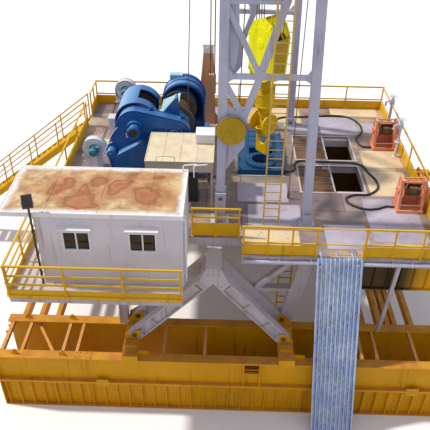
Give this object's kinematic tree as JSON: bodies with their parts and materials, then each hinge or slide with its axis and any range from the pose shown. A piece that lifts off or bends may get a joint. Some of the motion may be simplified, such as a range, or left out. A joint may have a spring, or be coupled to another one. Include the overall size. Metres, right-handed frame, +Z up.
{
  "type": "oil drilling rig",
  "caption": "Land drilling rig: box base, raised floor on braced legs, lattice mast with crown, travelling block, drawworks, cabin, slide and stair.",
  "frame": {"origin": "middle of the footprint on the ground, under the rig", "axes": "+Z up, +X towards the pipe side of the floor, -X towards the drawworks and the stair, -Y towards the cabin and the slide"},
  "size_m": [24.3636, 14, 37.9298],
  "materials": {
    "yellow_paint": "worn gloss",
    "pale_paint": "worn satin",
    "white_paint": "weathered satin",
    "blue_paint": "gloss",
    "orange_paint": "faded",
    "deck_steel": "scuffed plate",
    "wire_rope": "greased",
    "bare_steel": "worn",
    "planks": "weathered",
    "glass": "dark",
    "hose_rubber": "matt",
    "slide_paint": "worn"
  },
  "bodies": {
    "root": {"base_outer_near": "yellow_paint", "base_inner_near": "yellow_paint", "base_struts_near": "orange_paint", "base_outer_far": "yellow_paint", "base_inner_far": "yellow_paint", "base_struts_far": "orange_paint", "base_spreaders": "yellow_paint", "cellar_ladder": "yellow_paint", "legs_near_outer": "pale_paint", "legs_near_inner": "pale_paint", "legs_far_outer": "pale_paint", "legs_far_inner": "pale_paint", "setback_girder": "yellow_paint", "floor_frame": "pale_paint", "floor_deck": "deck_steel", "setback_planks": "planks", "rotary_table": "blue_paint", "mast_near_side": "pale_paint", "mast_far_side": "pale_paint", "mast_back_bracing": "pale_paint", "mast_shoes": "pale_paint", "mast_pedestals": "pale_paint", "mast_ladder": "yellow_paint", "crown_frame": "pale_paint", "crown_sheaves": "bare_steel", "racking_board": "yellow_paint", "drilling_lines": "wire_rope", "fast_line": "wire_rope", "dead_line": "wire_rope", "hoist_lines": "wire_rope", "deadline_anchor": "yellow_paint", "drawworks_skid": "blue_paint", "drawworks_chain_case": "blue_paint", "drawworks_drum": "bare_steel", "drawworks_covers": "blue_paint", "blowers": "white_paint", "driller_shelter": "white_paint", "hoist_post": "orange_paint", "tugger_frames": "orange_paint", "cabin_floor": "pale_paint", "cabin_walls": "white_paint", "cabin_glass": "glass", "cabin_roof": "white_paint", "cabin_lights": "bare_steel", "rails_front": "yellow_paint", "rails_sides": "yellow_paint", "rails_back": "yellow_paint", "rails_cabin": "yellow_paint", "slide": "slide_paint", "stair": "yellow_paint", "floor_fittings": "white_paint", "hose_near": "hose_rubber", "hose_far": "hose_rubber"},
    "travelling_block": {"block_housing": "yellow_paint", "block_sheaves": "bare_steel", "hook_body": "yellow_paint"},
    "hook": {"hook_swivel": "yellow_paint"},
    "tugger_drum_near": {"tugger_drum_near": "bare_steel"},
    "tugger_drum_far": {"tugger_drum_far": "bare_steel"}
  },
  "joints": [
    {"name": "block_lift", "type": "slide", "parent": "root", "child": "travelling_block", "axis": [0, 0, 1], "range_m": [-0.3, 23], "deforming": ["drilling_lines"]},
    {"name": "hook_swivel_turn", "type": "hinge", "parent": "travelling_block", "child": "hook", "pos_m": [3.18182, 0.5, 7.46], "axis": [0, 0, 1], "continuous": true},
    {"name": "tugger_near_turn", "type": "hinge", "parent": "root", "child": "tugger_drum_near", "pos_m": [8.18182, -2.1, 7.05], "axis": [1, 0, 0], "continuous": true},
    {"name": "tugger_far_turn", "type": "hinge", "parent": "root", "child": "tugger_drum_far", "pos_m": [8.18182, 2.3, 7.05], "axis": [1, 0, 0], "continuous": true}
  ]
}
